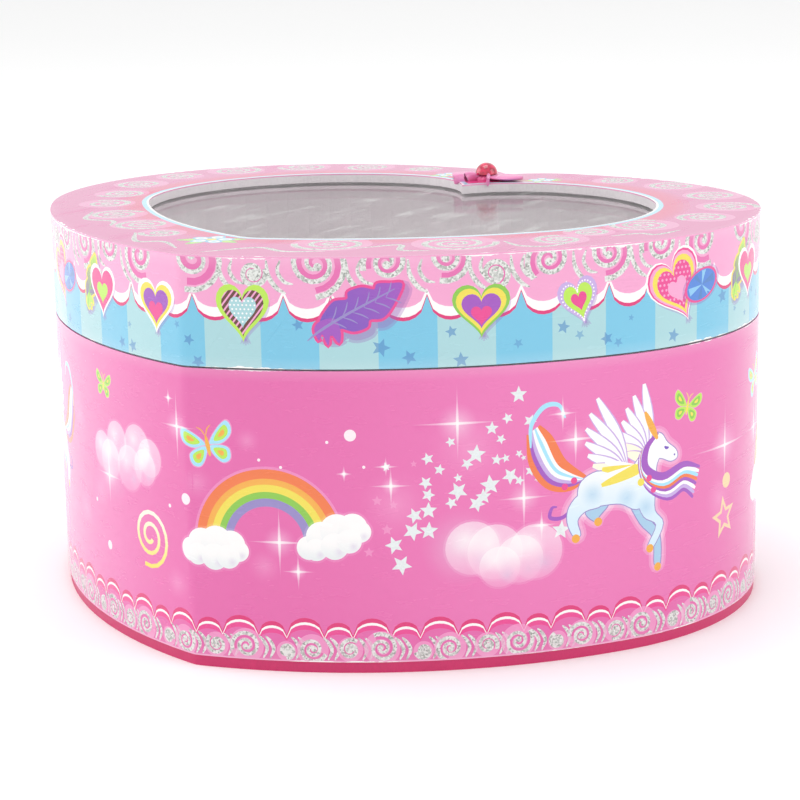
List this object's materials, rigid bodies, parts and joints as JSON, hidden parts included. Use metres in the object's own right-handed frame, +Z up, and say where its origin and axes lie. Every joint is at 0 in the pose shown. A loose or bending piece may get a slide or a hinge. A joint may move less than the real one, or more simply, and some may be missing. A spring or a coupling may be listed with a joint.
{
  "type": "musical jewellery box",
  "caption": "Heart-shaped musical jewellery box with a hinged windowed lid, a turning winged unicorn, a wind-up comb movement and a recessed key.",
  "frame": {"origin": "middle of the bounding box in plan, on the base board's underside", "axes": "+X across the two lobes, +Y from the heart's tip to its hinged back, +Z up"},
  "size_m": [0.18, 0.1554, 0.0965],
  "materials": {
    "printed_body": "glossy laminated printed paper, pink with stars, rainbow, clouds and a winged unicorn",
    "printed_band": "glossy laminated printed paper, pink swirls with silver glitter over aqua stripes",
    "printed_top": "glossy laminated printed paper, pink with silver glitter swirls",
    "base_paper": "greyboard covered with deep pink paper",
    "greyboard": "bare greyboard",
    "lining_pink": "pale pink lining paper",
    "lining_white": "white card",
    "cushion": "short pink flock over foam",
    "clear_sheet": "clear rigid plastic sheet",
    "wood_block": "plain softwood and fibreboard",
    "steel": "nickel plated steel",
    "blued_steel": "blued spring steel",
    "brass": "plated brass",
    "bow_plastic": "glossy pink plastic",
    "gem_plastic": "clear crimson resin",
    "stage_plastic": "pearly moulded plastic",
    "figure_plastic": "painted moulded plastic"
  },
  "bodies": {
    "box": {"base_board": "base_paper", "body_wall": "greyboard", "body_wrap": "printed_body", "body_lining": "lining_pink", "neck_ring": "lining_pink", "partition": "lining_pink", "lobe_divider": "lining_pink", "lobe_floors": "lining_pink", "ring_shelf": "lining_pink", "ring_cushion": "cushion", "stage_deck": "lining_pink", "deck_bush": "brass", "rod_guide": "steel", "key_well": "lining_white", "movement_blocks": "wood_block", "movement_board": "wood_block", "bedplate": "steel", "movement_screws": "steel", "cylinder_bracket": "steel", "train_bracket": "steel", "comb_block": "steel", "comb": "steel", "comb_screws": "brass", "governor_frame": "steel", "lever_bracket": "steel", "lever_pin": "brass", "hinge_leaves_body": "brass", "hinge_pins": "steel", "hinge_rivets_body": "steel"},
    "lid": {"lid_wall": "greyboard", "lid_wrap": "printed_band", "lid_board": "greyboard", "lid_sheet": "printed_top", "lid_lining": "lining_pink", "lid_ceiling": "lining_pink", "window_pane": "clear_sheet", "window_frame": "lining_pink", "press_tab": "lining_white", "bow_loops": "bow_plastic", "bow_knot": "bow_plastic", "gem": "gem_plastic", "hinge_leaves_lid": "brass", "hinge_rivets_lid": "steel"},
    "stage": {"spring_barrel": "brass", "mainspring": "blued_steel", "spindle": "steel", "turntable": "stage_plastic", "figurine": "figure_plastic"},
    "winder": {"winding_arbor": "steel", "winding_key": "brass"},
    "cylinder": {"pinned_cylinder": "brass", "cylinder_shaft": "steel", "cylinder_wheel": "brass"},
    "governor": {"governor_wheel": "brass"},
    "fan": {"governor_worm": "steel", "fan_shaft": "steel", "governor_fan": "stage_plastic"},
    "rod": {"stop_rod": "steel"},
    "lever": {"stop_lever": "brass"}
  },
  "joints": [
    {"name": "lid_hinge", "type": "hinge", "parent": "box", "child": "lid", "pos_m": [0, 0.07602, 0.0677], "axis": [-1, 0, 0], "range_deg": [0, 100]},
    {"name": "stage_turn", "type": "hinge", "parent": "box", "child": "stage", "pos_m": [0, -0.01872, 0.045], "axis": [0, 0, 1], "continuous": true},
    {"name": "key_turn", "type": "hinge", "parent": "box", "child": "winder", "pos_m": [0, -0.01872, 0.01], "axis": [0, 0, 1], "continuous": true},
    {"name": "cylinder_turn", "type": "hinge", "parent": "box", "child": "cylinder", "pos_m": [0.027, -0.01872, 0.02775], "axis": [1, 0, 0], "continuous": true},
    {"name": "governor_turn", "type": "hinge", "parent": "box", "child": "governor", "pos_m": [0.041, -0.02693, 0.02775], "axis": [1, 0, 0], "continuous": true},
    {"name": "fan_turn", "type": "hinge", "parent": "box", "child": "fan", "pos_m": [0.0429, -0.03222, 0.035], "axis": [0, 0, 1], "continuous": true},
    {"name": "stop_slide", "type": "slide", "parent": "box", "child": "rod", "axis": [0, 0, 1], "range_m": [0, 0.002]},
    {"name": "stop_rock", "type": "hinge", "parent": "box", "child": "lever", "pos_m": [0.0553, -0.03222, 0.03345], "axis": [0, -1, 0], "range_deg": [0, 14]}
  ],
  "couplings": [
    {"joint": "cylinder_turn", "follows": "stage_turn", "ratio": 3},
    {"joint": "governor_turn", "follows": "stage_turn", "ratio": -6},
    {"joint": "fan_turn", "follows": "stage_turn", "ratio": -96},
    {"joint": "stop_slide", "follows": "lid_hinge", "m_per_rad": 0.00114},
    {"joint": "stop_rock", "follows": "lid_hinge", "ratio": 0.14}
  ]
}
